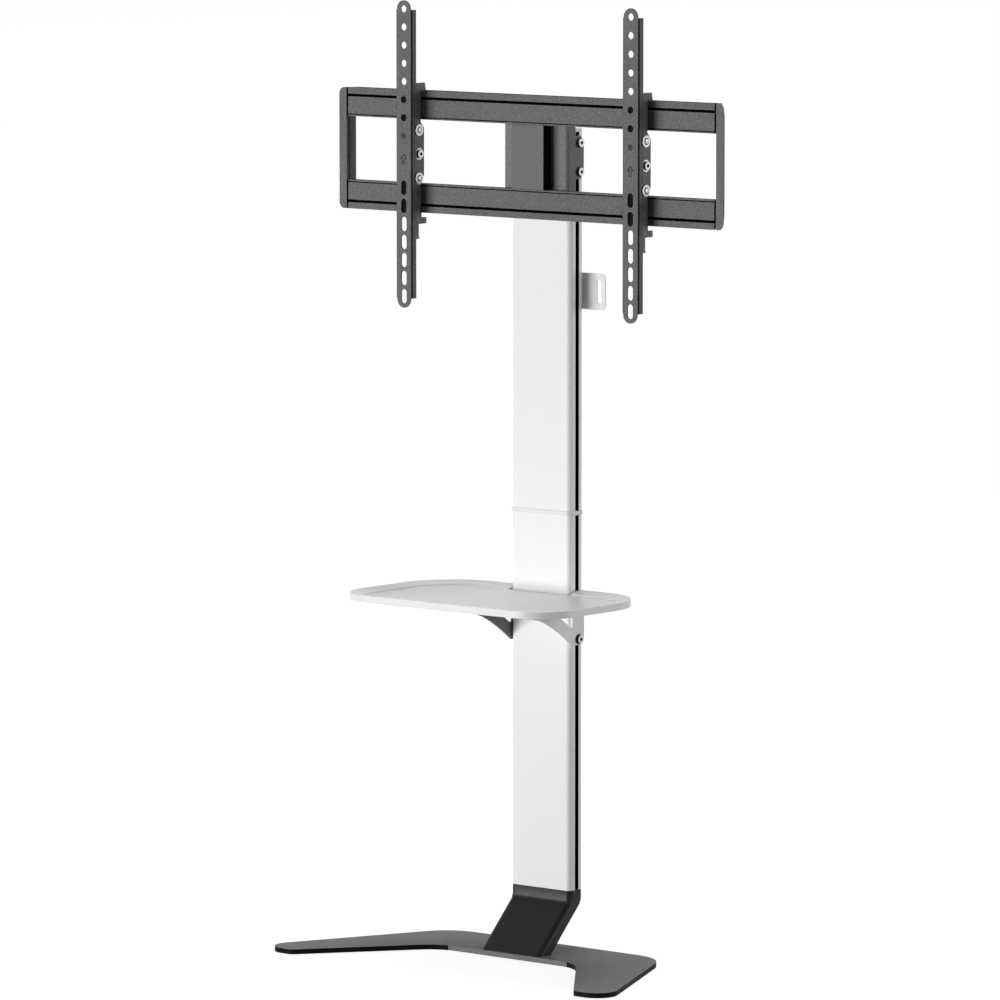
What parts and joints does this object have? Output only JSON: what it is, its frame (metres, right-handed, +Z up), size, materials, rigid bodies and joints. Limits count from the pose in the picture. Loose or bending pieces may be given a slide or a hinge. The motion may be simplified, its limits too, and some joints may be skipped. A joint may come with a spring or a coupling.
{
  "type": "screen stand",
  "caption": "Floor stand for a flat screen: splayed base, slotted column, shelf, cable holder and a sliding head with two tilting arms.",
  "frame": {"origin": "on the floor, under the middle of the column's front face", "axes": "+Z up the column, +X to the viewer's right in a front view, -Y out of the front where the screen goes"},
  "size_m": [0.679, 0.272, 1.3142],
  "materials": {
    "base_paint": "fine textured powder coat, satin dark grey",
    "pad_rubber": "matt black rubber",
    "screw_steel": "zinc-plated steel",
    "bar_steel": "plain drawn steel",
    "knee_paint": "fine textured powder coat over a casting",
    "column_aluminium": "satin silver anodised extrusion",
    "ring_plastic": "light grey moulding",
    "tray_plastic": "light grey moulding with a soft sheen",
    "shelf_paint": "light grey powder coat on sheet",
    "zinc_steel": "bright zinc-plated steel",
    "bracket_paint": "dark grey powder coat on sheet",
    "tilt_paint": "black matt coat on folded sheet",
    "cover_plastic": "black moulding, left bare",
    "rail_aluminium": "dark grey textured coat on an extrusion",
    "cap_plastic": "dark grey moulding",
    "arm_paint": "dark grey textured powder coat on folded sheet"
  },
  "bodies": {
    "stand": {"base_plate": "base_paint", "foot_pads": "pad_rubber", "base_screws": "screw_steel", "knee_bracket": "knee_paint", "column_screws": "screw_steel", "lower_column": "column_aluminium", "upper_column": "column_aluminium", "joint_ring": "ring_plastic", "joining_bars": "bar_steel", "set_screws": "screw_steel", "column_top_cap": "ring_plastic"},
    "shelf": {"shelf_tray": "tray_plastic", "shelf_bracket_left": "shelf_paint", "shelf_bracket_right": "shelf_paint", "tray_screws": "screw_steel", "shelf_bolts": "zinc_steel", "shelf_washers": "zinc_steel", "shelf_slot_nuts": "screw_steel"},
    "holder": {"cable_holder": "shelf_paint", "holder_bolt": "zinc_steel", "holder_nut": "screw_steel"},
    "head": {"head_bracket": "bracket_paint", "head_bolts": "zinc_steel", "head_washers": "zinc_steel", "head_slot_nuts": "screw_steel", "cover_box": "cover_plastic", "cover_screws": "screw_steel", "upper_rail": "rail_aluminium", "lower_rail": "rail_aluminium", "rail_screws": "screw_steel", "end_cap_left": "cap_plastic", "end_cap_right": "cap_plastic", "cap_screws": "screw_steel"},
    "carrier_left": {"carrier_left": "bracket_paint", "pivot_bolt_left": "zinc_steel", "pivot_washer_left": "zinc_steel", "pivot_nut_left": "screw_steel", "latch_rivets_left": "screw_steel"},
    "arm_left": {"arm_left": "arm_paint", "tilt_bracket_left": "tilt_paint", "guide_pins_left": "zinc_steel"},
    "latch_left": {"latch_left": "bracket_paint"},
    "carrier_right": {"carrier_right": "bracket_paint", "pivot_bolt_right": "zinc_steel", "pivot_washer_right": "zinc_steel", "pivot_nut_right": "screw_steel", "latch_rivets_right": "screw_steel"},
    "arm_right": {"arm_right": "arm_paint", "tilt_bracket_right": "tilt_paint", "guide_pins_right": "zinc_steel"},
    "latch_right": {"latch_right": "bracket_paint"}
  },
  "joints": [
    {"name": "shelf_height", "type": "slide", "parent": "stand", "child": "shelf", "axis": [0, 0, 1], "range_m": [-0.3, 0.09]},
    {"name": "holder_height", "type": "slide", "parent": "stand", "child": "holder", "axis": [0, 0, 1], "range_m": [-0.25, 0.15]},
    {"name": "head_height", "type": "slide", "parent": "stand", "child": "head", "axis": [0, 0, 1], "range_m": [-0.25, 0]},
    {"name": "arm_slide_left", "type": "slide", "parent": "head", "child": "carrier_left", "axis": [1, 0, 0], "range_m": [-0.1, 0.13]},
    {"name": "arm_tilt_left", "type": "hinge", "parent": "carrier_left", "child": "arm_left", "pos_m": [-0.2, -0.0335, 1.102], "axis": [1, 0, 0], "range_deg": [-5, 5]},
    {"name": "latch_pull_left", "type": "slide", "parent": "carrier_left", "child": "latch_left", "axis": [0, 0, 1], "range_m": [-0.008, 0]},
    {"name": "arm_slide_right", "type": "slide", "parent": "head", "child": "carrier_right", "axis": [1, 0, 0], "range_m": [-0.13, 0.1]},
    {"name": "arm_tilt_right", "type": "hinge", "parent": "carrier_right", "child": "arm_right", "pos_m": [0.2, -0.0335, 1.102], "axis": [1, 0, 0], "range_deg": [-5, 5]},
    {"name": "latch_pull_right", "type": "slide", "parent": "carrier_right", "child": "latch_right", "axis": [0, 0, 1], "range_m": [-0.008, 0]}
  ]
}
